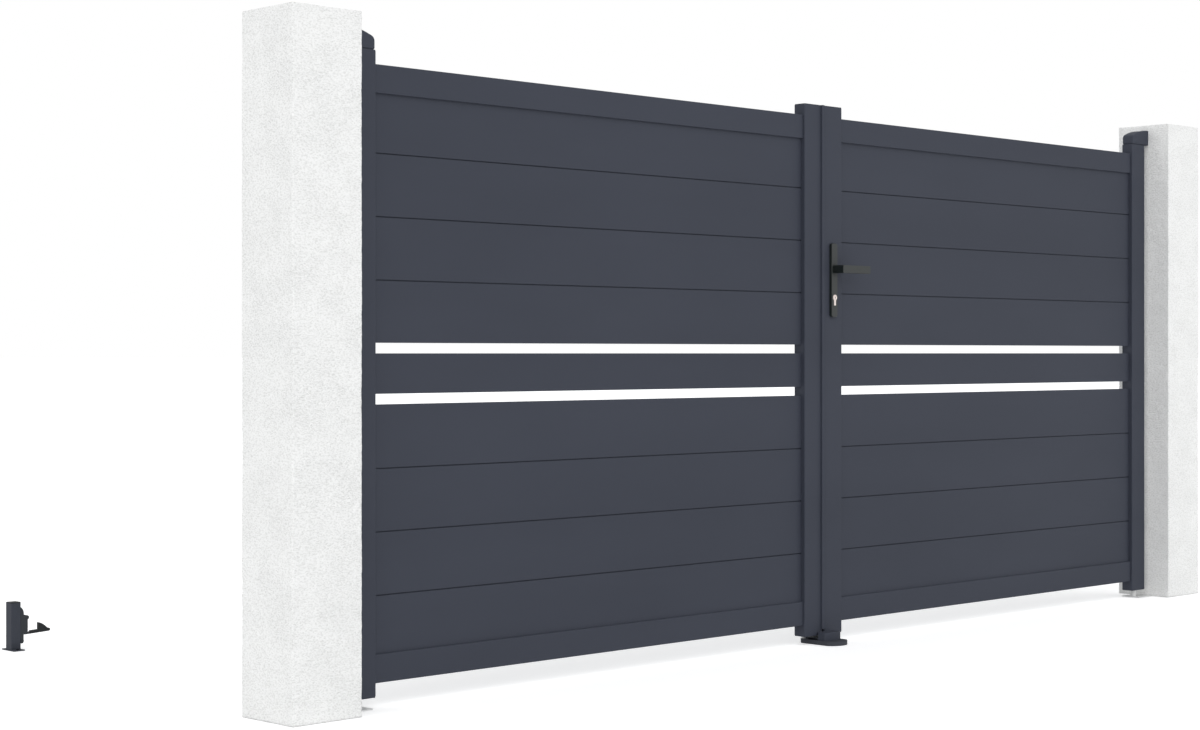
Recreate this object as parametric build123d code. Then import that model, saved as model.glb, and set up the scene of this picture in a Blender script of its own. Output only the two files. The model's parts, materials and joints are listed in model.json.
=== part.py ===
"""Double swing driveway gate of powder-coated aluminium between two rendered masonry pillars.

Millimetres, +Z up. The origin is the centre of the left pillar's foot. +X runs along the gate to the
right pillar, +Y points into the driveway, the way both leaves open.
"""

import math
import os

from build123d import *

# Opening, pillars and leaf width
opening_width = 3493.0
pillar_side = 197.0
pillar_rise = 19.5
pillar_bevel = 4.0
hinge_gap = 24.0
meeting_gap = 8.6

# Extruded stiles, rails and infill boards
stile_width = 79.0
stile_depth = 40.0
stile_corner = 3.0
stile_wall = 2.0
stile_reach = 32.0
ground_gap = 25.0
rail_height = 68.0
rail_depth = 26.0
rail_corner = 2.0
rail_wall = 2.0
board_pitch = 150.0
board_depth = 12.0
board_wall = 1.5
board_seat = 10.0
board_reveal = 3.0
boards_per_panel = 4
cells_per_board = 3
tongue_depth = 4.0
tongue_length = 6.0
tongue_room = 0.3
channel_depth = 12.0
slot_height = 25.0
middle_height = 96.0
cap_plate = 3.0

# Hinges
pin_radius = 8.0
pin_reach = 28.0
bush_length = 30.0
running_room = 0.05
hinge_seam = 3.0
cap_height = 48.5
cap_shoulder = 26.0
cap_bow = 6.0
cap_corner = 14.0
cap_setback = 3.5
cap_wall = 2.5
cap_round = 4.0
cap_edge = 1.5
cap_floor_gap = 1.0
cap_floor_inset = 1.5
arm_thickness = 8.0
arm_width = 28.0
arm_nose = 13.0
pivot_plate = 3.0
pivot_collar = 10.0
pivot_reach = 82.5
pivot_width = 68.0
collar_room = 0.3
cap_hole_room = 2.0

# Lock and lever handle
strip_overlap = 8.2
strip_thickness = 6.0
strip_clear = 5.5
strip_lift = 17.0
strip_round = 1.5
lock_setback = 35.5
plate_width = 26.0
plate_height = 213.0
plate_thickness = 9.5
plate_corner = 7.0
plate_drop = 138.0
plate_edge = 1.2
lever_height = 1079.0
lever_neck = 6.5
neck_gap = 2.0
lever_reach = 37.5
lever_length = 125.0
lever_tall = 23.0
lever_thick = 11.0
lever_heel = 6.5
lever_corner = 3.0
lever_edge = 1.0
spindle_side = 8.0
spindle_hole = 8.0
key_drop = 82.0
key_barrel = 8.5
key_stem = 7.5
key_height = 31.0
key_proud = 1.0
key_room = 0.3
edge_plate_width = 22.0
edge_plate_height = 240.0
latch_rise = 30.0
latch_tall = 26.0
bolt_fall = 45.0
bolt_tall = 40.0
strike_opening = 14.0

# Floor stop
stop_width = 84.0
stop_back = 51.0
stop_front = 94.0
stop_bow = 24.0
stop_plate = 12.0
stop_block_width = 70.0
stop_block_top = 35.0
stop_block_length = 35.0
stop_block_bow = 4.0
stop_block_corner = 4.0
stop_block_edge = 1.5
stop_clear = 5.0
stop_bolt_radius = 4.5
stop_bolt_spacing = 52.0
stop_bolt_y = 33.0
keep_width = 60.0
keep_back = 22.0
keep_clear = 7.0
keep_roof = 2.5
keep_sill = 2.0
keep_front_wall = 3.0
keep_back_wall = 9.0
keep_slot_length = 28.0
keep_slot_width = 14.0

# Hold-open catches
catch_clear = 5.0
catch_reach = 1485.5
catch_base_x = 34.0
catch_base_y = 68.0
catch_base = 3.0
catch_bolt_spacing = 48.0
catch_bolt_radius = 3.5
catch_post_x = 30.0
catch_post_y = 30.0
catch_post_corner = 1.0
catch_post_wall = 2.0
catch_post_top = 136.0
catch_cap = 3.0
catch_cap_edge = 1.0
bumper_reach = 26.0
bumper_flange = 9.0
bumper_low = 18.5
bumper_high = 121.0
bumper_slope = 24.0
bumper_heel = 9.0
bumper_bulge = 3.0
nose_cover = 1.0
nose_high = 94.0
lip_radius = 6.0
lip_rise = 2.5
lip_proud = 4.0
tilt_pin = 4.0
tilt_setback = 8.0
tilt_drop = 9.0
tilt_hub = 6.5
tilt_room = 1.0
tilt_headroom = 3.5
tilt_arm_width = 10.0
tilt_arm_thick = 8.8
tilt_arm_slope = 3.0
hook_bite = 14.5
hook_length = 37.0
hook_crest = 3.0
hook_bulge = 2.5
ramp_length = 28.5
ridge_setback = 8.0
ridge_rise = 4.0

# Derived layout along X, from the left pillar's centre
face_x = pillar_side / 2
centre_x = face_x + opening_width / 2
leaf_width = (opening_width - 2 * hinge_gap - meeting_gap) / 2
hinge_outer = face_x + hinge_gap
hinge_inner = hinge_outer + stile_width
meeting_outer = hinge_outer + leaf_width
meeting_inner = meeting_outer - stile_width
infill_width = meeting_inner - hinge_inner
axis_x = hinge_outer + stile_width / 2
mirror_plane = Plane(origin=(centre_x, 0, 0), z_dir=(1, 0, 0))

# Derived layout along Z
low_rail = ground_gap + stile_reach
low_boards = low_rail + rail_height - board_seat
low_slot = low_boards + boards_per_panel * board_pitch
middle_low = low_slot + slot_height
high_slot = middle_low + middle_height
high_boards = high_slot + slot_height
high_boards_top = high_boards + boards_per_panel * board_pitch
high_rail = high_boards_top - board_seat
stile_top = high_rail + rail_height + stile_reach
hinge_top = stile_top + hinge_seam
pillar_height = hinge_top + cap_height + pillar_rise
plate_bottom = lever_height - plate_drop
key_z = lever_height - key_drop

# Derived layout along Y
stile_front = -stile_depth / 2
plate_front = stile_front - plate_thickness

# Derived layout of the floor stop
keep_top = ground_gap - keep_clear

# Derived layout of the lock
lock_edge_x = centre_x + meeting_gap / 2
lock_x = lock_edge_x + lock_setback

# Derived layout of the left catch, from the open leaf's bottom rail
bumper_face = axis_x - rail_depth / 2 - catch_clear
hook_face = axis_x + rail_depth / 2 + catch_clear
catch_post_mid = bumper_face - bumper_reach - catch_post_x / 2
tilt_x = bumper_face - tilt_setback
tilt_height = low_rail - tilt_drop
tilt_arm_low = tilt_height - tilt_hub
tilt_slot_top = tilt_height + tilt_hub + tilt_headroom
nose_low = tilt_height - tilt_pin - nose_cover
hook_top = low_rail + hook_bite


def block(x0, x1, y0, y1, z0, z1):
    """A box between two corners."""
    size = Box(x1 - x0, y1 - y0, z1 - z0)
    return Pos((x0 + x1) / 2, (y0 + y1) / 2, (z0 + z1) / 2) * size


def upright(radius, x, y, z0, z1):
    """A vertical cylinder between two heights."""
    return Pos(x, y, (z0 + z1) / 2) * Cylinder(radius, z1 - z0)


def across(radius, x, z, y0, y1):
    """A cylinder along Y between two depths."""
    return Pos(x, (y0 + y1) / 2, z) * Rot(90, 0, 0) * Cylinder(radius, y1 - y0)


def to_right(shape):
    """The matching piece of the right leaf or right pillar."""
    return mirror(shape, about=mirror_plane)


def pillar():
    """Square rendered pillar with bevelled arrises."""
    body = block(-face_x, face_x, -face_x, face_x, 0, pillar_height)
    arrises = body.edges().filter_by(Axis.Z) + body.faces().sort_by(Axis.Z)[-1].edges()
    return chamfer(arrises, pillar_bevel)


def stile_section():
    """Hollow stile with a board channel in the edge at x = 0, the tube running to +x."""
    outer = RectangleRounded(stile_width, stile_depth, stile_corner)
    outer = Pos(stile_width / 2, 0) * outer
    inside = Rectangle(stile_width - 2 * stile_wall, stile_depth - 2 * stile_wall)
    inside = Pos(stile_width / 2, 0) * inside
    lining = Rectangle(channel_depth + stile_wall, board_depth + 2 * stile_wall)
    lining = Pos((channel_depth + stile_wall) / 2, 0) * lining
    channel = Pos(channel_depth / 2, 0) * Rectangle(channel_depth, board_depth)
    return outer - (inside - lining) - channel


def stile(inner_x, outward):
    """Stile tube between its end plates, its channel on the infill side."""
    length = stile_top - ground_gap - 2 * cap_plate
    tube = extrude(stile_section(), length)
    if outward < 0:
        tube = mirror(tube, about=Plane.YZ)
    return Pos(inner_x, 0, ground_gap + cap_plate) * tube


def end_plate(low_x, z):
    """Flat plate that closes one end of a stile."""
    outline = Rectangle(stile_width, stile_depth)
    plate = extrude(chamfer(outline.vertices(), stile_corner), cap_plate)
    return Pos(low_x + stile_width / 2, 0, z) * plate


def stile_caps():
    """The four end plates of a leaf, cut square for the pins at the hinge stile."""
    bottom, top = ground_gap, stile_top - cap_plate
    room = pin_radius + cap_hole_room
    hole = block(axis_x - room, axis_x + room, -room, room, ground_gap, stile_top)
    hinge = [end_plate(hinge_outer, z) - hole for z in (bottom, top)]
    meeting = [end_plate(meeting_inner, z) for z in (bottom, top)]
    return hinge + meeting


def hinge_bushes():
    """Plugs inside both ends of the hinge stile, bored for the pins."""
    low_x = hinge_outer + stile_wall
    high_x = hinge_inner - channel_depth - stile_wall
    half = stile_depth / 2 - stile_wall
    bushes = []
    for z in (ground_gap + cap_plate, stile_top - cap_plate - bush_length):
        plug = block(low_x, high_x, -half, half, z, z + bush_length)
        bore = upright(pin_radius + running_room, axis_x, 0, z, z + bush_length)
        bushes.append(plug - bore)
    return bushes


def rail(z, channel_up):
    """Hollow rail between the stiles, with the board channel in its top or bottom edge."""
    outer = RectangleRounded(rail_depth, rail_height, rail_corner)
    inside = Rectangle(rail_depth - 2 * rail_wall, rail_height - 2 * rail_wall)
    side = 1 if channel_up else -1
    edge = side * rail_height / 2
    lining = Rectangle(board_depth + 2 * rail_wall, board_seat + rail_wall)
    lining = Pos(0, edge - side * (board_seat + rail_wall) / 2) * lining
    channel = Pos(0, edge - side * board_seat / 2) * Rectangle(board_depth, board_seat)
    section = outer - (inside - lining) - channel
    bar = extrude(Plane.YZ * section, infill_width)
    return Pos(hinge_inner, 0, z + rail_height / 2) * bar


def board(z0, z1, tongue, groove):
    """Hollow board between two heights, seated in both stile channels."""
    body_top = z1 - board_reveal if tongue else z1
    section = Pos(0, (z0 + body_top) / 2) * Rectangle(board_depth, body_top - z0)
    if tongue:
        rise = board_reveal + tongue_length
        section += Pos(0, body_top + rise / 2) * Rectangle(tongue_depth, rise)
    floor = z0 + board_wall
    if groove:
        width = tongue_depth + 2 * tongue_room
        depth = tongue_length + tongue_room
        section -= Pos(0, z0 + depth / 2) * Rectangle(width, depth)
        floor += depth
    cell = (body_top - floor) / cells_per_board
    for i in range(cells_per_board):
        middle = floor + i * cell + (cell - board_wall) / 2
        hollow = Rectangle(board_depth - 2 * board_wall, cell - board_wall)
        section -= Pos(0, middle) * hollow
    length = infill_width + 2 * board_seat
    return Pos(hinge_inner - board_seat, 0, 0) * extrude(Plane.YZ * section, length)


def panel(z0):
    """Boards of one panel, tongue and groove, each held in the channels at its ends."""
    last = boards_per_panel - 1
    return [
        board(z0 + i * board_pitch, z0 + (i + 1) * board_pitch, i < last, i > 0)
        for i in range(boards_per_panel)
    ]


def channel_fillers():
    """Bars that close the stile channels beside the two slots and beyond the rails."""
    half = board_depth / 2
    spans = [
        (ground_gap + cap_plate, low_rail),
        (low_slot, middle_low),
        (high_slot, high_boards),
        (high_rail + rail_height, stile_top - cap_plate),
    ]
    fillers = []
    for z0, z1 in spans:
        for x in (hinge_inner - channel_depth, meeting_inner):
            fillers.append(block(x, x + channel_depth, -half, half, z0, z1))
    return fillers


def hinge_arm():
    """Bracket on the pillar with the pin that hangs into the hinge stile."""
    half = arm_width / 2
    end = axis_x + arm_nose
    arm = block(face_x, end, -half, half, hinge_top, hinge_top + arm_thickness)
    pin_low = stile_top - cap_plate - pin_reach
    return arm + upright(pin_radius, axis_x, 0, pin_low, hinge_top + arm_thickness)


def cap_outline(inset):
    """Side view of the hinge cap, corners sharp: low at the leaf, a bowed back, taller at the pillar."""
    reach = hinge_inner - cap_setback - face_x - inset
    shoulder, top = cap_shoulder - inset, cap_height - inset
    middle = (reach / 2, (shoulder + top) / 2 + cap_bow)
    back = ThreePointArc((reach, shoulder), middle, (0, top))
    return make_face(back + Polyline((0, top), (0, 0), (reach, 0), (reach, shoulder)))


def rounded_cap_outline():
    """The cap's outer side view with its two upper corners rounded."""
    outline = cap_outline(0)
    high = outline.vertices().sort_by(Axis.Y)[2:].sort_by(Axis.X)
    outline = fillet(high[1], cap_corner)
    high = outline.vertices().sort_by(Axis.X)[:2].sort_by(Axis.Y)
    return fillet(high[1], cap_round)


def hinge_cap():
    """Rounded hollow cover over the hinge arm, open at the pillar, its floor cut square for the pin."""
    half = stile_depth / 2
    skin = extrude(Plane.XZ * rounded_cap_outline(), half, both=True)
    sides = skin.faces().sort_by(Axis.Y)
    rims = sides[0].edges() + sides[-1].edges()
    backs = [e for e in rims if e.center().Z > 0]
    skin = chamfer(backs, cap_edge)
    hollow = extrude(Plane.XZ * cap_outline(cap_wall), half - cap_wall, both=True)
    cover = Pos(face_x, 0, hinge_top) * (skin - hollow)
    end = hinge_inner - cap_setback - cap_floor_inset
    side = half - cap_floor_inset
    low = stile_top + cap_floor_gap
    floor = block(face_x, end, -side, side, low, hinge_top)
    room = pin_radius + running_room
    return cover + floor - block(axis_x - room, axis_x + room, -room, room, low, hinge_top)


def bottom_pivot():
    """Ground plate with a thrust collar and the pin that carries the leaf."""
    half = pivot_width / 2
    plate = block(face_x, face_x + pivot_reach, -half, half, 0, pivot_plate)
    collar = upright(pivot_collar, axis_x, 0, 0, ground_gap - collar_room)
    return plate + collar + upright(pin_radius, axis_x, 0, 0, ground_gap + cap_plate + pin_reach)


def bowed_outline(width, back_y, front_y, back_bow, front_bow):
    """Flat outline with straight sides, an arched front and an arched or straight back."""
    half = width / 2
    front_left, front_right = (-half, front_y + front_bow), (half, front_y + front_bow)
    back_left, back_right = (-half, back_y - back_bow), (half, back_y - back_bow)
    front = ThreePointArc(front_right, (0, front_y), front_left)
    back = ThreePointArc(back_left, (0, back_y), back_right) if back_bow else Line(back_left, back_right)
    return make_face(front + Line(front_left, back_left) + back + Line(back_right, front_right))


def stop_base():
    """Ground plate under the meeting stiles with a bridge-shaped keep for a drop bolt and two screw holes."""
    outline = bowed_outline(stop_width, stop_back, -stop_front, stop_bow, stop_bow)
    plate = extrude(outline, stop_plate)
    half = keep_width / 2
    front = stile_front - stop_clear
    plate += block(-half, half, front, keep_back, stop_plate, keep_top)
    low, high = stop_plate - keep_sill, keep_top - keep_roof
    plate -= block(-half, half, front + keep_front_wall, keep_back - keep_back_wall, low, high)
    slot_x, slot_y = keep_slot_width / 2, keep_slot_length / 2
    plate -= block(-slot_x, slot_x, -slot_y, slot_y, 0, keep_top)
    for side in (-1, 1):
        x = side * stop_bolt_spacing / 2
        plate -= upright(stop_bolt_radius, x, stop_bolt_y, 0, stop_plate)
    return Pos(centre_x, 0, 0) * plate


def stop_block():
    """Raised block that both leaves close against."""
    back = stile_front - stop_clear
    outline = bowed_outline(stop_block_width, back, back - stop_block_length, 0, stop_block_bow)
    outline = chamfer(outline.vertices(), stop_block_corner)
    raised = extrude(outline, stop_block_top - stop_plate)
    raised = chamfer(raised.faces().sort_by(Axis.Z)[-1].edges(), stop_block_edge)
    return Pos(centre_x, 0, stop_plate) * raised


def catch_post_outline():
    """Section of the catch post with bevelled corners."""
    outline = Rectangle(catch_post_x, catch_post_y)
    return chamfer(outline.vertices(), catch_post_corner)


def catch_post(y):
    """Base plate with two screw holes and a hollow post welded on it."""
    base = Box(catch_base_x, catch_base_y, catch_base, align=(Align.CENTER, Align.CENTER, Align.MIN))
    for side in (-1, 1):
        base -= upright(catch_bolt_radius, 0, side * catch_bolt_spacing / 2, 0, catch_base)
    tube = catch_post_outline()
    tube -= Rectangle(catch_post_x - 2 * catch_post_wall, catch_post_y - 2 * catch_post_wall)
    height = catch_post_top - catch_cap - catch_base
    post = Pos(0, 0, catch_base) * extrude(tube, height)
    return Pos(catch_post_mid, y, 0) * (base + post)


def catch_top(y):
    """Plastic cap on the catch post."""
    plate = extrude(catch_post_outline(), catch_cap)
    plate = chamfer(plate.faces().sort_by(Axis.Z)[-1].edges(), catch_cap_edge)
    return Pos(catch_post_mid, y, catch_post_top - catch_cap) * plate


def flange_outline(back, front):
    """Side view of the bumper's flange: upright at the post, its front bowed in at both ends."""
    middle = (back + front) / 2 + bumper_bulge
    high, low = bumper_high - bumper_slope, bumper_low + bumper_heel
    top = ThreePointArc((front, high), (middle, (high + bumper_high) / 2 + bumper_bulge), (back, bumper_high))
    heel = ThreePointArc((back, bumper_low), (middle, (low + bumper_low) / 2 - bumper_bulge), (front, low))
    rear = Line((back, bumper_high), (back, bumper_low))
    return make_face(top + rear + heel + Line((front, low), (front, high)))


def catch_bumper(y):
    """Stepped bumper on the post, lipped above, forked below for the tilting arm and its pin."""
    half = catch_post_y / 2
    back = catch_post_mid + catch_post_x / 2
    front = back + bumper_flange
    flange = extrude(Plane.XZ * flange_outline(back, front), half, both=True)
    nose = block(front, bumper_face - lip_proud, -half, half, nose_low, nose_high)
    lip = across(lip_radius, bumper_face - lip_radius, nose_high - lip_radius + lip_rise, -half, half)
    slot_half = tilt_arm_width / 2 + tilt_room
    slot = block(front, bumper_face, -slot_half, slot_half, nose_low, tilt_slot_top)
    pin = across(tilt_pin, tilt_x, tilt_height, -half, half)
    return Pos(0, y, 0) * (flange + (nose + lip - slot) + pin)


def arm_bar():
    """Side view of the tilting arm, level: thin at the bumper, thick past the ridge, round at the tip."""
    thin = tilt_arm_thick - ridge_rise
    end = hook_face + hook_length - bumper_face - tilt_arm_thick / 2
    under = [(-tilt_setback, thin), (-tilt_setback, 0), (end, 0), (end, tilt_arm_thick)]
    ridge = [(ridge_setback + ridge_rise, tilt_arm_thick), (ridge_setback, thin)]
    bar = make_face(Polyline(*under, *ridge, close=True))
    return bar + Pos(end, tilt_arm_thick / 2) * Circle(tilt_arm_thick / 2)


def catch_arm(y):
    """Tilting arm: a sloping bar, a hook with a ramp behind the open leaf's rail, and the eye of its pin."""
    bar = Pos(bumper_face, tilt_arm_low) * Rot(0, 0, tilt_arm_slope) * arm_bar()
    rise = math.tan(math.radians(tilt_arm_slope))
    crest, ramp_end = hook_face + hook_crest, hook_face + ramp_length
    ramp_low = tilt_arm_low + (ramp_end - bumper_face) * rise + tilt_arm_thick
    foot = ramp_low - tilt_arm_thick / 2
    bulge = ((crest + ramp_end) / 2, (hook_top + ramp_low) / 2 + hook_bulge)
    ramp = ThreePointArc((crest, hook_top), bulge, (ramp_end, ramp_low))
    under = [(ramp_end, ramp_low), (ramp_end, foot), (hook_face, foot)]
    outline = bar + make_face(Polyline(*under, (hook_face, hook_top), (crest, hook_top)) + ramp)
    outline += Pos(tilt_x, tilt_height) * Circle(tilt_hub)
    outline -= Pos(tilt_x, tilt_height) * Circle(tilt_pin + running_room)
    return Pos(0, y, 0) * extrude(Plane.XZ * outline, tilt_arm_width / 2, both=True)


def closing_strip():
    """Flat strip on the left meeting stile that covers the gap between the leaves."""
    low_x, high_x = meeting_outer - strip_overlap, lock_edge_x - strip_clear
    low_z, high_z = ground_gap + strip_lift, stile_top
    strip = block(low_x, high_x, stile_front - strip_thickness, stile_front, low_z, high_z)
    front = strip.faces().sort_by(Axis.Y)[0].edges().filter_by(Axis.Z)
    return fillet(front, strip_round)


def key_outline(room):
    """Profile cylinder seen from the front: a round barrel over a narrow stem."""
    stem_low = -key_height + key_barrel
    barrel = Circle(key_barrel + room)
    stem = Pos(0, stem_low / 2) * Rectangle(key_stem + 2 * room, -stem_low + 2 * room)
    return barrel + stem


def key_prism(room, y0, y1):
    """The cylinder's outline carried from one depth to another."""
    solid = extrude(Plane.XZ * key_outline(room), y1 - y0)
    return Pos(lock_x, y1, key_z) * solid


def lock_hole(y0, y1):
    """What the spindle and the key cylinder need through the lock stile, cut square behind the plates."""
    low_z, high_z = lever_height - spindle_hole, lever_height + spindle_hole
    spindle_cut = block(lock_x - spindle_hole, lock_x + spindle_hole, y0, y1, low_z, high_z)
    side, top = key_barrel + key_room, key_z + key_barrel + key_room
    low = key_z + key_barrel - key_height - key_room
    return spindle_cut + block(lock_x - side, lock_x + side, y0, y1, low, top)


def lock_plate(back):
    """Rounded escutcheon plate, bored for the lever's neck and the cylinder."""
    plate = extrude(RectangleRounded(plate_width, plate_height, plate_corner), plate_thickness)
    plate = chamfer(plate.faces().sort_by(Axis.Z)[-1].edges(), plate_edge)
    plate = Pos(lock_x, stile_front, plate_bottom + plate_height / 2) * Rot(90, 0, 0) * plate
    plate -= across(lever_neck + running_room, lock_x, lever_height, plate_front, stile_front)
    plate -= key_prism(key_room, plate_front, stile_front)
    return mirror(plate, about=Plane.XZ) if back else plate


def lever(back):
    """Lever handle bent from flat bar: a grip, a neck of the same height and a round shank in the plate."""
    grip_front = plate_front - lever_reach
    grip_back = grip_front + lever_thick
    neck_back = plate_front - neck_gap
    low_x = lock_x - lever_heel
    half = lever_tall / 2
    grip = extrude(RectangleRounded(lever_length, lever_tall, lever_corner), lever_thick)
    grip = chamfer(grip.faces().sort_by(Axis.Z)[-1].edges(), lever_edge)
    grip = Pos(low_x + lever_length / 2, grip_back, lever_height) * Rot(90, 0, 0) * grip
    low_z, high_z = lever_height - half, lever_height + half
    neck = block(low_x, lock_x + lever_heel, grip_back, neck_back, low_z, high_z)
    neck = chamfer(neck.edges().filter_by(Axis.Y), lever_edge)
    shank = across(lever_neck, lock_x, lever_height, neck_back, stile_front)
    handle = grip + neck + shank
    return mirror(handle, about=Plane.XZ) if back else handle


def spindle():
    """Square bar that joins both levers through the lock stile."""
    half = spindle_side / 2
    x0, x1 = lock_x - half, lock_x + half
    return block(x0, x1, stile_front, -stile_front, lever_height - half, lever_height + half)


def edge_plate(x0):
    """Lock or strike plate let into the wall of a meeting stile's edge."""
    half = edge_plate_width / 2
    low = plate_bottom + plate_height / 2 - edge_plate_height / 2
    return block(x0, x0 + stile_wall, -half, half, low, low + edge_plate_height)


def strike_plate(x0):
    """Plate in the left meeting stile with openings for the latch and the bolt of the lock."""
    plate = edge_plate(x0)
    half = strike_opening / 2
    latch_z, bolt_z = lever_height + latch_rise, lever_height - bolt_fall
    for z, tall in ((latch_z, latch_tall), (bolt_z, bolt_tall)):
        plate -= block(x0, x0 + stile_wall, -half, half, z - tall / 2, z + tall / 2)
    return plate


def leaf():
    """Pieces that both leaves have, as they are on the left leaf."""
    return {
        "hinge_stile": stile(hinge_inner, -1),
        "meeting_stile": stile(meeting_inner, 1),
        "top_rail": rail(high_rail, False),
        "bottom_rail": rail(low_rail, True),
        "upper_boards": panel(high_boards),
        "middle_board": board(middle_low, high_slot, False, False),
        "lower_boards": panel(low_boards),
        "channel_fillers": channel_fillers(),
        "stile_caps": stile_caps(),
        "hinge_bushes": hinge_bushes(),
    }


def fixed_side():
    """Pieces that stand still at the left pillar, as they are repeated at the right one."""
    return {
        "pillar": pillar(),
        "hinge_arm": hinge_arm(),
        "hinge_cap": hinge_cap(),
        "bottom_pivot": bottom_pivot(),
        "catch_post": catch_post(catch_reach),
        "catch_cap": catch_top(catch_reach),
        "catch_bumper": catch_bumper(catch_reach),
        "catch_arm": catch_arm(catch_reach),
    }


def both_sides(pieces):
    """The pieces under left names, and their mirror images under right names."""
    named = {}
    for name, shape in pieces.items():
        solids = shape if isinstance(shape, list) else [shape]
        named["left_" + name] = solids
        named["right_" + name] = [to_right(solid) for solid in solids]
    return named


def gate():
    """Every node of the gate with its solids."""
    nodes = both_sides(fixed_side()) | both_sides(leaf())
    strike_x = meeting_outer - stile_wall
    nodes["left_meeting_stile"][0] -= edge_plate(strike_x)
    nodes["right_meeting_stile"][0] -= edge_plate(lock_edge_x)
    nodes["right_meeting_stile"][0] -= lock_hole(stile_front, -stile_front)
    nodes["strike_plate"] = [strike_plate(strike_x)]
    nodes["lock_face_plate"] = [edge_plate(lock_edge_x)]
    nodes["closing_strip"] = [closing_strip()]
    nodes["front_lock_plate"] = [lock_plate(False)]
    nodes["back_lock_plate"] = [lock_plate(True)]
    nodes["key_cylinder"] = [key_prism(0, plate_front - key_proud, -plate_front + key_proud)]
    nodes["front_lever"] = [lever(False)]
    nodes["back_lever"] = [lever(True)]
    nodes["lever_spindle"] = [spindle()]
    nodes["floor_stop_plate"] = [stop_base()]
    nodes["floor_stop_block"] = [stop_block()]
    return nodes


os.makedirs("parts", exist_ok=True)
for name, solids in gate().items():
    shape = solids[0] if len(solids) == 1 else Compound(children=solids)
    export_step(shape, f"parts/{name}.step")
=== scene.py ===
"""Looks of the double swing driveway gate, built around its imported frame.

Metres, +Z up. The origin is the centre of the left pillar's foot, +X runs to the right pillar and
+Y points into the driveway.
"""

import json
import math

import bpy
import numpy as np
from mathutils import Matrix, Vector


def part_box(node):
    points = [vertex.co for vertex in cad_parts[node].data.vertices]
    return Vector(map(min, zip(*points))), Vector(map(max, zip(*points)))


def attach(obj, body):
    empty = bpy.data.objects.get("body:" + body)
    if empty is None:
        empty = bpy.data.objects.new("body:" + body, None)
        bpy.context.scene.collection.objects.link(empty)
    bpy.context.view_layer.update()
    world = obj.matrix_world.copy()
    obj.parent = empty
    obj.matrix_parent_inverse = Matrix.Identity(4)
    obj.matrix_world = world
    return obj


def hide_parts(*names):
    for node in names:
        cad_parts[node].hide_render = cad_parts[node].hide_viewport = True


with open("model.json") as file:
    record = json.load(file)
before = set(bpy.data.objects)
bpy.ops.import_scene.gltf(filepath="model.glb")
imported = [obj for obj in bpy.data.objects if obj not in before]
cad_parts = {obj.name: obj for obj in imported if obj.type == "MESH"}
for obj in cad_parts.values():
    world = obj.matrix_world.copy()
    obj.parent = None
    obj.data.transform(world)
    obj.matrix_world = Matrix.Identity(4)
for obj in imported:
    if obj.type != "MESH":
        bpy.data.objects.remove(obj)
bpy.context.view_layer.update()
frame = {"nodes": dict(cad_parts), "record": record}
mounts = {mount["name"]: mount for mount in frame["record"]["mounts"]}
MM = 0.001
SIDES = ("left", "right")
UP = (0, 0, 1)


# Colours and shader nodes


def linear(code):
    """Linear RGBA of an sRGB hex colour."""
    srgb = np.array([int(code[i : i + 2], 16) for i in (1, 3, 5)]) / 255
    rgb = np.where(srgb <= 0.04045, srgb / 12.92, ((srgb + 0.055) / 1.055) ** 2.4)
    return (*rgb.tolist(), 1.0)


def per_mm(size):
    """Pattern scale whose features are that many millimetres across."""
    return 1 / (size * MM)


def add(tree, kind, inputs=None, give=0, **settings):
    """Adds a shader node, sets its properties, fills its inputs with values or links, and gives one of
    its outputs."""
    node = tree.nodes.new("ShaderNode" + kind)
    for key, value in settings.items():
        setattr(node, key, value)
    for key, value in (inputs or {}).items():
        if isinstance(value, bpy.types.NodeSocket):
            tree.links.new(value, node.inputs[key])
        else:
            node.inputs[key].default_value = value
    return node.outputs[give] if node.outputs else None


def new_material(name):
    """An empty material with its tree and the piece's object coordinates."""
    material = bpy.data.materials.new(name)
    material.use_nodes = True
    tree = material.node_tree
    tree.nodes.clear()
    return material, tree, add(tree, "TexCoord", give="Object")


# Materials


def masonry_render():
    """White mineral render, thrown on and scraped: chalky, with short level flecks and pitting of about 3 mm,
    rougher in some patches than in others. Its colour carries painted shade in the hollows of that grit and
    painted light on its crests."""
    material, tree, place = new_material("masonry_render")
    level = add(tree, "Mapping", {"Vector": place, "Scale": (0.55, 0.55, 1.0)})
    patch = add(tree, "TexNoise", {"Vector": place, "Scale": per_mm(75), "Detail": 2.0})
    rough = add(tree, "MapRange", {"Value": patch, "From Min": 0.38, "From Max": 0.62, "To Min": 0.35})
    grit = add(tree, "TexNoise", {"Vector": level, "Scale": per_mm(3.4), "Detail": 2.0, "Roughness": 0.65})
    swell = add(tree, "TexNoise", {"Vector": place, "Scale": per_mm(14), "Detail": 2.0})
    relief = add(tree, "Math", {0: grit, 1: rough}, operation="MULTIPLY")
    relief = add(tree, "Math", {0: swell, 1: 0.35, 2: relief}, operation="MULTIPLY_ADD")
    # Painted shade and light: the grit's hollows take the darker colour and its crests the lighter one
    relief_shade_and_light = add(tree, "MapRange", {"Value": grit, "From Min": 0.33, "From Max": 0.55})
    colour = {"Factor": relief_shade_and_light, "A": linear("#dcdcda"), "B": linear("#f0f0ef")}
    look = {
        "Base Color": add(tree, "Mix", colour, 2, data_type="RGBA"),
        "Roughness": 0.95,
        "Specular IOR Level": 0.15,
        "Normal": add(tree, "Bump", {"Height": relief, "Distance": 2.8 * MM}),
    }
    add(tree, "OutputMaterial", {"Surface": add(tree, "BsdfPrincipled", look)})
    return material


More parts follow.
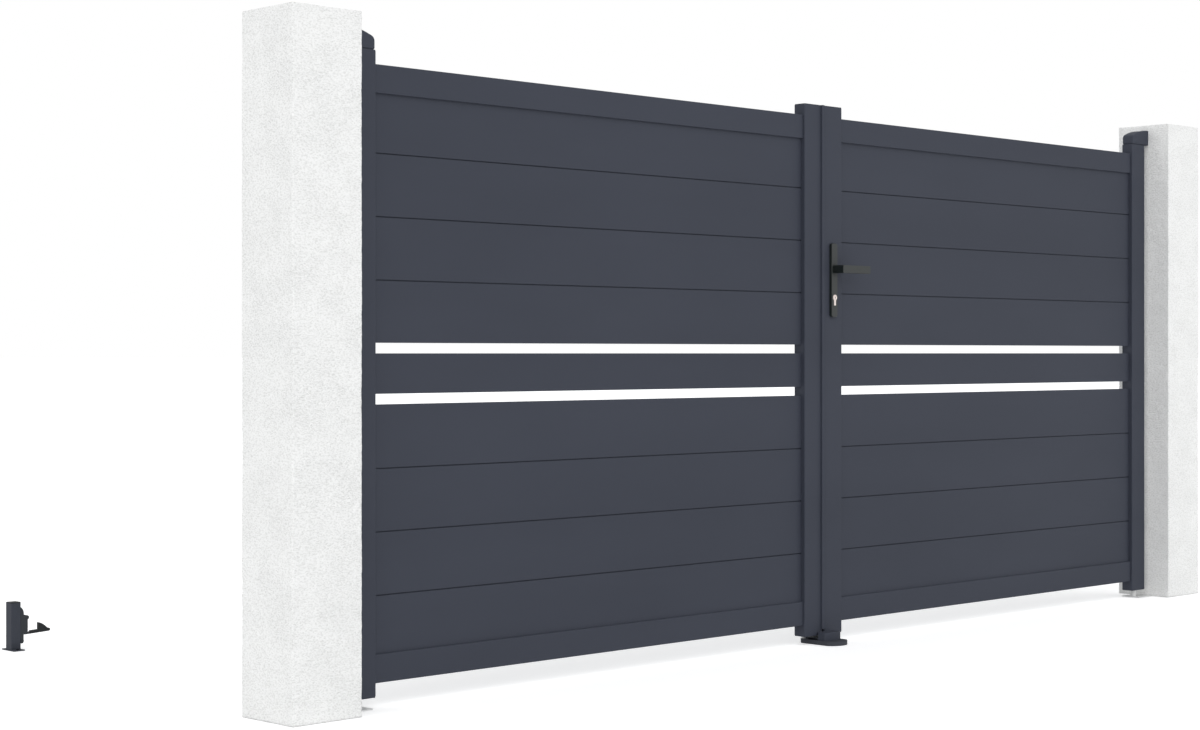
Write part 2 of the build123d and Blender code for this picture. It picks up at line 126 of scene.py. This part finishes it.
def powder_coat(name, light, dark, gloss=0.35):
    """Matte polyester powder coat on extruded aluminium: a dense orange-peel grain of about 1 mm, with
    painted light and shade that make its crests a little lighter than its hollows, and a faint cloudiness
    along each length."""
    material, tree, place = new_material(name)
    along = add(tree, "Mapping", {"Vector": place, "Scale": (0.3, 1.0, 1.0)})
    cloud = add(tree, "TexNoise", {"Vector": along, "Scale": per_mm(260), "Detail": 3.0})
    cloud = add(tree, "MapRange", {"Value": cloud, "From Min": 0.3, "From Max": 0.7})
    grain = add(tree, "TexNoise", {"Vector": place, "Scale": per_mm(1.0), "Detail": 2.0, "Roughness": 0.6})
    # Painted light and shade: the grain's crests take the lighter colour; the tint blends this with the real
    # cloudiness
    crest_painted_light = add(tree, "MapRange", {"Value": grain, "From Min": 0.35, "From Max": 0.65})
    tint = add(tree, "Mix", {"Factor": 0.7, "A": cloud, "B": crest_painted_light})
    colour = {"Factor": tint, "A": linear(dark), "B": linear(light)}
    span = {"Value": grain, "From Min": 0.3, "From Max": 0.7, "To Min": 0.60, "To Max": 0.72}
    look = {
        "Base Color": add(tree, "Mix", colour, 2, data_type="RGBA"),
        "Roughness": add(tree, "MapRange", span),
        "Specular IOR Level": gloss,
        "Normal": add(tree, "Bump", {"Height": grain, "Distance": 0.18 * MM, "Strength": 0.7}),
    }
    add(tree, "OutputMaterial", {"Surface": add(tree, "BsdfPrincipled", look)})
    return material


def zinc_plate(name, light, dark, metal):
    """Zinc plating on rolled steel, clear or blackened: spangles of about 6 mm and faint rolling streaks."""
    material, tree, place = new_material(name)
    rolled = add(tree, "Mapping", {"Vector": place, "Scale": (0.12, 1.0, 1.0)})
    streak = add(tree, "TexNoise", {"Vector": rolled, "Scale": per_mm(4), "Detail": 3.0, "Roughness": 0.6})
    spangle = add(tree, "TexVoronoi", {"Vector": place, "Scale": per_mm(6)}, "Color")
    tint = add(tree, "Mix", {"Factor": 0.25, "A": streak, "B": spangle}, 2, data_type="RGBA")
    colour = {"Factor": tint, "A": linear(dark), "B": linear(light)}
    span = {"Value": streak, "From Min": 0.3, "From Max": 0.7, "To Min": 0.38, "To Max": 0.55}
    look = {
        "Base Color": add(tree, "Mix", colour, 2, data_type="RGBA"),
        "Metallic": metal,
        "Roughness": add(tree, "MapRange", span),
    }
    add(tree, "OutputMaterial", {"Surface": add(tree, "BsdfPrincipled", look)})
    return material


def brushed_stainless():
    """Brushed stainless steel: upright grinding lines of about half a millimetre over a soft shine."""
    material, tree, place = new_material("brushed_stainless")
    drawn = add(tree, "Mapping", {"Vector": place, "Scale": (1.0, 1.0, 0.025)})
    line = add(tree, "TexNoise", {"Vector": drawn, "Scale": per_mm(0.5), "Detail": 3.0, "Roughness": 0.6})
    colour = {"Factor": line, "A": linear("#a3a4a6"), "B": linear("#cfd0d2")}
    span = {"Value": line, "From Min": 0.3, "From Max": 0.7, "To Min": 0.28, "To Max": 0.42}
    look = {
        "Base Color": add(tree, "Mix", colour, 2, data_type="RGBA"),
        "Metallic": 1.0,
        "Roughness": add(tree, "MapRange", span),
        "Normal": add(tree, "Bump", {"Height": line, "Distance": 0.02 * MM, "Strength": 0.4}),
    }
    add(tree, "OutputMaterial", {"Surface": add(tree, "BsdfPrincipled", look)})
    return material


def nickel_brass():
    """Satin nickel on a brass lock cylinder: pale and a little pink, with fine turning marks."""
    material, tree, place = new_material("nickel_brass")
    mark = add(tree, "TexNoise", {"Vector": place, "Scale": per_mm(0.6), "Detail": 3.0, "Roughness": 0.6})
    colour = {"Factor": mark, "A": linear("#eddcd4"), "B": linear("#fbf0ea")}
    span = {"Value": mark, "From Min": 0.3, "From Max": 0.7, "To Min": 0.30, "To Max": 0.42}
    look = {
        "Base Color": add(tree, "Mix", colour, 2, data_type="RGBA"),
        "Metallic": 0.3,
        "Roughness": add(tree, "MapRange", span),
    }
    add(tree, "OutputMaterial", {"Surface": add(tree, "BsdfPrincipled", look)})
    return material


def black_anodised():
    """Satin black anodised aluminium: near black and faintly green, with a broad sheen and a fine etched
    grain."""
    material, tree, place = new_material("black_anodised")
    grain = add(tree, "TexNoise", {"Vector": place, "Scale": per_mm(0.7), "Detail": 2.0, "Roughness": 0.6})
    cloud = add(tree, "TexNoise", {"Vector": place, "Scale": per_mm(40), "Detail": 2.0})
    colour = {"Factor": cloud, "A": linear("#0c1412"), "B": linear("#111a18")}
    span = {"Value": grain, "From Min": 0.3, "From Max": 0.7, "To Min": 0.36, "To Max": 0.46}
    look = {
        "Base Color": add(tree, "Mix", colour, 2, data_type="RGBA"),
        "Roughness": add(tree, "MapRange", span),
        "Specular IOR Level": 0.85,
        "Normal": add(tree, "Bump", {"Height": grain, "Distance": 0.03 * MM, "Strength": 0.4}),
    }
    add(tree, "OutputMaterial", {"Surface": add(tree, "BsdfPrincipled", look)})
    return material


def moulded_nylon(name, light, dark):
    """Glass-filled nylon from a spark-eroded mould: dark and matte with a grain of about 1 mm."""
    material, tree, place = new_material(name)
    grain = add(tree, "TexNoise", {"Vector": place, "Scale": per_mm(1.1), "Detail": 3.0, "Roughness": 0.65})
    cloud = add(tree, "TexNoise", {"Vector": place, "Scale": per_mm(30), "Detail": 2.0})
    colour = {"Factor": cloud, "A": linear(dark), "B": linear(light)}
    span = {"Value": grain, "From Min": 0.3, "From Max": 0.7, "To Min": 0.5, "To Max": 0.65}
    look = {
        "Base Color": add(tree, "Mix", colour, 2, data_type="RGBA"),
        "Roughness": add(tree, "MapRange", span),
        "Normal": add(tree, "Bump", {"Height": grain, "Distance": 0.08 * MM, "Strength": 0.6}),
    }
    add(tree, "OutputMaterial", {"Surface": add(tree, "BsdfPrincipled", look)})
    return material


render_white = masonry_render()
anthracite = powder_coat("anthracite_powder_coat", "#3c404c", "#30343f")
stop_coat = powder_coat("floor_stop_coat", "#40434a", "#33363d")
post_coat = powder_coat("catch_post_coat", "#3b3f49", "#2f333d", 0.5)
zinc = zinc_plate("clear_zinc_plate", "#f0f0ef", "#dadbdb", 0.5)
black_zinc = zinc_plate("black_zinc_plate", "#2a2d31", "#202327", 0.8)
stainless = brushed_stainless()
nickel = nickel_brass()
lock_black = black_anodised()
bush_nylon = moulded_nylon("bush_nylon", "#202224", "#191b1d")
bumper_nylon = moulded_nylon("bumper_nylon", "#31363a", "#2a2e32")
hook_nylon = moulded_nylon("hook_nylon", "#1c1f21", "#15171a")

by_slot = {
    "render": render_white,
    "powder_coat": anthracite,
    "zinc": zinc,
    "steel": stainless,
    "nylon": bush_nylon,
    "nickel": nickel,
    "lock_black": lock_black,
    "stop_grey": stop_coat,
    "catch_steel": post_coat,
    "catch_black": hook_nylon,
}
by_node = {
    "floor_stop_block": anthracite,
    "left_catch_bumper": bumper_nylon,
    "right_catch_bumper": bumper_nylon,
}
for part in frame["record"]["subparts"]:
    node = frame["nodes"][part["node"]]
    node.data.materials.clear()
    node.data.materials.append(by_node.get(part["node"], by_slot[part["material_slot"]]))


# Surfaces


def corners_of(node):
    """Lowest and highest corner of a node's box."""
    return (np.array(corner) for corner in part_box(node))


def lattice_noise(points, size, seed):
    """Smooth value noise at 3-D points: random values on a repeating lattice of that spacing, blended between
    the eight corners of each point's cell."""
    count = 64
    table = np.random.default_rng(seed).random((count, count, count)) * 2 - 1
    cell = points / size
    base = np.floor(cell).astype(int)
    part = cell - base
    part = part * part * (3 - 2 * part)
    total = np.zeros(len(points))
    for corner in np.ndindex(2, 2, 2):
        index = (base + corner) % count
        weight = np.prod(np.where(np.array(corner) == 1, part, 1 - part), axis=1)
        total += weight * table[index[:, 0], index[:, 1], index[:, 2]]
    return total


def mesh_object(name, points, faces, *materials):
    """A smooth mesh at the origin from arrays of points and faces."""
    mesh = bpy.data.meshes.new(name)
    mesh.from_pydata(points.tolist(), [], faces)
    for material in materials:
        mesh.materials.append(material)
    mesh.shade_smooth()
    piece = bpy.data.objects.new(name, mesh)
    bpy.context.scene.collection.objects.link(piece)
    return piece


def grid_faces(rows, columns, ring=False):
    """Quads between neighbouring points of a grid in row order that closes round its columns, and as a ring
    from its last row to its first too."""
    row, column = np.meshgrid(np.arange(rows if ring else rows - 1), np.arange(columns), indexing="ij")
    after = (column + 1) % columns
    here, above = row * columns, (row + 1) % rows * columns
    quads = np.stack([here + column, here + after, above + after, above + column], axis=-1)
    return quads.reshape(-1, 4).tolist()


def closed_ends(faces, rows, columns):
    """The grid's faces with a flat face over its first and its last row."""
    first = list(range(columns - 1, -1, -1))
    last = list(range((rows - 1) * columns, rows * columns))
    return faces + [first, last]


def rendered_pillar(node):
    """Square pillar coated by hand: a square with small round corners carried up its height and drawn in over
    the top, each point pushed in or out by three sizes of noise, so that the faces undulate and the arrises
    run unevenly."""
    low, high = corners_of(node)
    half, height = (high[0] - low[0]) / 2, high[2] - low[2]
    step, corner, inset, bend = 5.0 * MM, 2.5 * MM, 0.8 * MM, 5
    turn = np.linspace(0, np.pi / 2, bend)
    straight = np.arange(-half + corner, half - corner + step / 2, step)
    side = np.stack([np.full_like(straight, half), straight], axis=1)
    arc = half - corner + corner * np.stack([np.cos(turn), np.sin(turn)], axis=1)
    quarter = np.concatenate([side, arc[1:-1]])
    turned = np.stack([-quarter[:, 1], quarter[:, 0]], axis=1)
    ring = np.concatenate([quarter, turned, -quarter, -turned])
    rise = np.arange(0, height - corner, step)
    top_scale = 1 - corner * (1 - np.cos(turn)) / half
    inner = np.linspace(top_scale[-1], 0.02, 36)[1:]
    z = np.concatenate([rise, height - corner + corner * np.sin(turn), np.full(len(inner), height)])
    scale = np.concatenate([np.ones(len(rise)), top_scale, inner])
    lift = np.concatenate([np.zeros(len(rise)), turn, np.full(len(inner), np.pi / 2)])
    rows, columns = len(z), len(ring)
    level = np.broadcast_to(z[:, None, None], (rows, columns, 1))
    points = np.concatenate([ring[None] * scale[:, None, None], level], axis=2).reshape(-1, 3)
    unit = np.sign(ring) * np.clip(np.abs(ring) - (half - corner), 0, None)
    unit /= np.linalg.norm(unit, axis=1, keepdims=True)
    upward = np.broadcast_to(np.sin(lift)[:, None, None], (rows, columns, 1))
    outward = np.concatenate([unit[None] * np.cos(lift)[:, None, None], upward], axis=2).reshape(-1, 3)
    points += [(low[0] + high[0]) / 2, (low[1] + high[1]) / 2, low[2]]
    seed = 11 if node.startswith("left") else 12
    wave = lattice_noise(points, 90 * MM, seed) * 0.5
    lump = lattice_noise(points, 22 * MM, seed + 10) * 0.45
    grain = lattice_noise(points, 8 * MM, seed + 20) * 0.55
    points += outward * ((wave + lump + grain) * MM - inset * (outward[:, 2:] < 0.5)[:, 0])[:, None]
    points[:columns, 2] = low[2]
    faces = closed_ends(grid_faces(rows, columns), rows, columns)
    piece = mesh_object(node + "_coat", points, faces, render_white)
    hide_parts(node)
    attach(piece, "posts")


def axes_of(normal):
    """Two level or upright directions that make a right-handed set with an axis-aligned normal."""
    normal = np.array(normal, float)
    if abs(normal[2]) > 0.5:
        first = np.array([1.0, 0, 0])
    else:
        first = np.cross([0, 0, 1.0], normal)
    return first, np.cross(normal, first), normal


def head(name, centre, normal, radius, relief, body, material, sides=0, dark=None, hollow=0.0):
    """Round or many-sided head on a flat face: points at shares of the outline's radius for each angle,
    lifted along the normal by relief(x, y, share) in millimetres, with an outermost ring sunk just under the
    face. Faces that lie deeper than hollow below the head's highest point take the dark material, as painted
    shade in the recess."""
    columns, rings = 72, 30
    angle = np.arange(columns) / columns * 2 * np.pi
    reach = np.full(columns, radius)
    if sides:
        wedge = 2 * np.pi / sides
        reach = radius * np.cos(wedge / 2) / np.cos(angle % wedge - wedge / 2)
    share = np.concatenate([[1.0], np.linspace(1.0, 0.02, rings)])
    x = share[:, None] * reach * np.cos(angle)
    y = share[:, None] * reach * np.sin(angle)
    tall = relief(x, y, np.broadcast_to(share[:, None], x.shape))
    tall[0] = -0.2
    first, second, out = axes_of(normal)
    points = np.array(centre) + (x[..., None] * first + y[..., None] * second + tall[..., None] * out) * MM
    rows = rings + 1
    quads = grid_faces(rows, columns)
    faces = closed_ends(quads, rows, columns)
    piece = mesh_object(name, points.reshape(-1, 3), faces, material, *([dark] if dark else []))
    # Painted shade: faces deep in the recess take the dark material
    if dark:
        floor = tall.max() - hollow
        sunk = tall.reshape(-1)[np.array(quads)].mean(axis=1) < floor
        sunk[:columns] = False
        sunk = np.concatenate([sunk, [False, tall[-1].mean() < floor]])
        piece.data.polygons.foreach_set("material_index", sunk.astype(np.int32))
    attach(piece, body)


def cross_recess(x, y, width, length, depth):
    """Depth of a cross-shaped driver recess: two soft-edged bars at right angles, the deeper one taken."""
    def bar(a, b):
        return np.clip((width - np.abs(a)) / 0.4, 0, 1) * np.clip((length - np.abs(b)) / 0.8, 0, 1)

    return depth * np.maximum(bar(x, y), bar(y, x))


def pan_screw(name, centre, normal, radius, body, material):
    """Pan-head screw: a flattened dome with a cross recess."""
    def relief(x, y, share):
        dome = 0.45 * radius * np.sqrt(1 - 0.8 * share**2)
        return dome - cross_recess(x, y, 0.16 * radius, 0.62 * radius, 0.28 * radius)

    head(name, centre, normal, radius, relief, body, material)


def hexagon_bolt(name, centre, normal, radius, body):
    """Hexagon bolt head with its crown chamfered, on a round washer."""
    washer = 1.4

    def flat_ring(x, y, share):
        return washer - 0.5 * np.clip((share - 0.93) / 0.07, 0, 1) ** 2

    def crown(x, y, share):
        edge = np.clip((np.hypot(x, y) / radius - 0.84) / 0.16, 0, 1)
        return washer + (0.75 - 0.14 * edge) * radius

    head(name + "_washer", centre, normal, 1.35 * radius, flat_ring, body, zinc)
    head(name + "_head", centre, normal, radius, crown, body, zinc, sides=6)


def key_plug(name, centre, normal):
    """Turning plug of the lock cylinder: a shallow dome inside a groove, with an upright keyway painted dark
    as shade.
    """
    radius = 6.6

    def relief(x, y, share):
        groove = 0.6 * np.exp(-(((share - 0.86) / 0.05) ** 2))
        slit = np.clip((1.1 - np.abs(x)) / 0.3, 0, 1) * np.clip((3.6 - np.abs(y + 0.6)) / 0.5, 0, 1)
        bulb = np.clip((2.1 - np.hypot(x, y - 1.2)) / 0.4, 0, 1)
        return 1.0 + 0.3 * (1 - share**2) - groove - 1.1 * np.maximum(slit, bulb)

    # The keyway's deep faces take the dark nylon as painted shade
    head(name, centre, normal, radius, relief, "right_leaf", nickel, dark=bush_nylon, hollow=0.8)


def tongue(name, low, high, radius, slope):
    """Bolt tongue that stands out of the lock's edge towards -X: a ball's points pushed out to the eight
    corners of a box, so its edges are round, and its far side set back by slope along Y."""
    rows, columns = 17, 32
    tilt = np.linspace(-np.pi / 2 + 0.02, np.pi / 2 - 0.02, rows)[:, None]
    turn = (np.arange(columns) + 0.5)[None, :] / columns * 2 * np.pi
    across = np.cos(tilt)
    ball = np.stack([across * np.cos(turn), across * np.sin(turn), np.sin(tilt) + 0 * turn], axis=-1)
    low, high = np.array(low), np.array(high)
    half = (high - low) / 2
    points = (low + high) / 2 + np.sign(ball) * (half - radius) + ball * radius
    share = (points[..., 1] - low[1]) / (high[1] - low[1])
    points[..., 0] = high[0] - (high[0] - points[..., 0]) * (1 - slope * share)
    faces = closed_ends(grid_faces(rows, columns), rows, columns)
    piece = mesh_object(name, points.reshape(-1, 3), faces, stainless)
    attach(piece, "right_leaf")


def weld_bead(name, middle, half, z):
    """Fillet weld round the foot of a square post: a hollow quarter-round section with its corner under the
    post's face, carried round a rounded square, its size rippling along the path."""
    columns, size, sunk = 360, 2.6 * MM, 0.2 * MM
    angle = np.arange(columns) / columns * 2 * np.pi
    power = 14
    spread = (np.abs(np.cos(angle)) ** power + np.abs(np.sin(angle)) ** power) ** (-1 / power)
    path = np.stack([np.cos(angle), np.sin(angle)], axis=1) * spread[:, None]
    ripple = size * (1 + 0.12 * np.sin(angle * 60) + 0.1 * np.sin(angle * 7))
    bend = np.linspace(0, np.pi / 2, 9)[:, None]
    corner = np.zeros((1, columns))
    grow = half - sunk + np.concatenate([ripple * (1 - np.sin(bend)), corner])
    rise = z - sunk + np.concatenate([ripple * (1 - np.cos(bend)), corner])
    flat = path[None] * grow[..., None] + middle[:2]
    points = np.concatenate([flat, rise[..., None]], axis=2).reshape(-1, 3)
    piece = mesh_object(name, points, grid_faces(len(grow), columns, ring=True), post_coat)
    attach(piece, "posts")


for side_name in SIDES:
    rendered_pillar(side_name + "_pillar")

stop_bolts = mounts["floor_stop_bolts"]
for number, side in enumerate((-1, 1)):
    shift = side * stop_bolts["dims"]["spacing_x_mm"] / 2 * MM
    spot = np.array(stop_bolts["pos_m"]) + [shift, 0, 0]
    hexagon_bolt(f"stop_bolt_{number}", spot, UP, 6.5, "posts")

catch_post_half = 15.0 * MM
pivot_plate_top = 3.0 * MM
pivot_screw_side = 22 * MM
pivot_screw_shares = ((0.15, -1), (0.15, 1), (0.85, -1), (0.85, 1))
for side_name in SIDES:
    catch_bolts = mounts[side_name + "_catch_bolts"]
    foot = np.array(catch_bolts["pos_m"])
    reach = catch_bolts["dims"]["spacing_y_mm"] / 2 * MM
    for number, side in enumerate((-1, 1)):
        name = f"{side_name}_catch_screw_{number}"
        pan_screw(name, foot + [0, side * reach, 0], UP, 5.5, "posts", black_zinc)
    weld_bead(side_name + "_catch_weld", foot, catch_post_half, foot[2])
    low, high = corners_of(side_name + "_bottom_pivot")
    for number, (share, side) in enumerate(pivot_screw_shares):
        spot = [low[0] + share * (high[0] - low[0]), side * pivot_screw_side, pivot_plate_top]
        pan_screw(f"{side_name}_pivot_screw_{number}", spot, UP, 4.2, "posts", zinc)

plate_screw_inset = 13 * MM
low, high = corners_of("back_lock_plate")
for number, z in enumerate((low[2] + plate_screw_inset, high[2] - plate_screw_inset)):
    spot = [(low[0] + high[0]) / 2, high[1], z]
    pan_screw(f"lock_screw_{number}", spot, (0, 1, 0), 3.6, "right_leaf", lock_black)

low, high = corners_of("key_cylinder")
barrel_x, barrel_z = (low[0] + high[0]) / 2, high[2] - (high[0] - low[0]) / 2
key_plug("front_key_plug", [barrel_x, low[1], barrel_z], (0, -1, 0))
key_plug("back_key_plug", [barrel_x, high[1], barrel_z], (0, 1, 0))

edge_screw_inset = 11 * MM
low, high = corners_of("lock_face_plate")
for number, z in enumerate((low[2] + edge_screw_inset, high[2] - edge_screw_inset)):
    pan_screw(f"face_screw_{number}", [low[0], 0, z], (-1, 0, 0), 3.2, "right_leaf", stainless)

# Each tongue's height over the spindle, half height, stand-out, edge radius in mm, and slope
tongues = {"latch_tongue": (30, 11, 2.6, 0.8, 0.6), "bolt_tongue": (-45, 18, 1.2, 0.6, 0.0)}
half_thick, root = 6, 1
spindle_low, spindle_high = corners_of("lever_spindle")
spindle_z = (spindle_low[2] + spindle_high[2]) / 2
for name, (rise, half, proud, edge, slope) in tongues.items():
    middle = np.array([low[0], 0, spindle_z + rise * MM])
    near, far = np.array([-proud, -half_thick, -half]), np.array([root, half_thick, half])
    tongue(name, middle + near * MM, middle + far * MM, edge * MM, slope)

low, high = corners_of("strike_plate")
for number, z in enumerate((low[2] + edge_screw_inset, high[2] - edge_screw_inset)):
    pan_screw(f"strike_screw_{number}", [high[0], 0, z], (1, 0, 0), 3.2, "left_leaf", stainless)


# Stage


def studio():
    """Pale floor, white backdrop for the eye, a sky brighter on the right and a broad soft sun from the
    front."""
    scene = bpy.context.scene
    world = bpy.data.worlds.new("studio")
    world.use_nodes = True
    tree = world.node_tree
    tree.nodes.clear()
    mirrored = add(tree, "LightPath", give="Is Glossy Ray")
    seen = add(tree, "LightPath", give="Is Camera Ray")
    way = add(tree, "TexCoord", give="Generated")
    along = add(tree, "SeparateXYZ", {0: way}, "X")
    side = {"Value": along, "From Min": -0.8, "From Max": 0.5, "To Min": 0.12, "To Max": 0.73}
    across = add(tree, "MapRange", side, interpolation_type="SMOOTHSTEP")
    strength = add(tree, "Mix", {"Factor": mirrored, "A": 0.92, "B": across})
    sky = add(tree, "Background", {"Color": (0.98, 0.99, 1.0, 1.0), "Strength": strength})
    white = add(tree, "Background", {"Color": (1, 1, 1, 1), "Strength": 1.0})
    both = add(tree, "MixShader", {0: seen, 1: sky, 2: white})
    add(tree, "OutputWorld", {"Surface": both})
    scene.world = world

    material, tree, place = new_material("studio_floor")
    diffuse = add(tree, "BsdfDiffuse", {"Color": (0.84, 0.84, 0.84, 1)})
    seen = add(tree, "LightPath", give="Is Camera Ray")
    glow = add(tree, "Math", {0: seen, 1: 0.36}, operation="MULTIPLY")
    glow = add(tree, "Emission", {"Color": (1, 1, 1, 1), "Strength": glow})
    add(tree, "OutputMaterial", {"Surface": add(tree, "AddShader", {0: diffuse, 1: glow})})
    reach, drop = 300.0, -0.5 * MM
    corners = np.array([[-1, -1, 0], [1, -1, 0], [1, 1, 0], [-1, 1, 0]]) * reach + [0, 0, drop]
    mesh_object("studio_floor", corners, [[0, 1, 2, 3]], material)

    lamp = bpy.data.lights.new("soft_sun", "SUN")
    lamp.energy = 0.95
    lamp.angle = math.radians(70)
    sun = bpy.data.objects.new("soft_sun", lamp)
    sun.rotation_euler = (math.radians(48), 0, math.radians(-38))
    scene.collection.objects.link(sun)


def camera():
    """The photograph's viewpoint, level, turned 44.5 degrees towards the right pillar."""
    data = bpy.data.cameras.new("camera")
    data.lens = 65.31
    data.sensor_width = 36.0
    data.shift_y = -0.00988
    eye = bpy.data.objects.new("camera", data)
    eye.location = (-3.0172, -4.0478, 0.8365)
    eye.rotation_euler = (math.radians(90), 0, math.radians(-44.5))
    scene = bpy.context.scene
    scene.collection.objects.link(eye)
    scene.camera = eye


studio()
camera()
bpy.context.scene.view_settings.view_transform = "Standard"
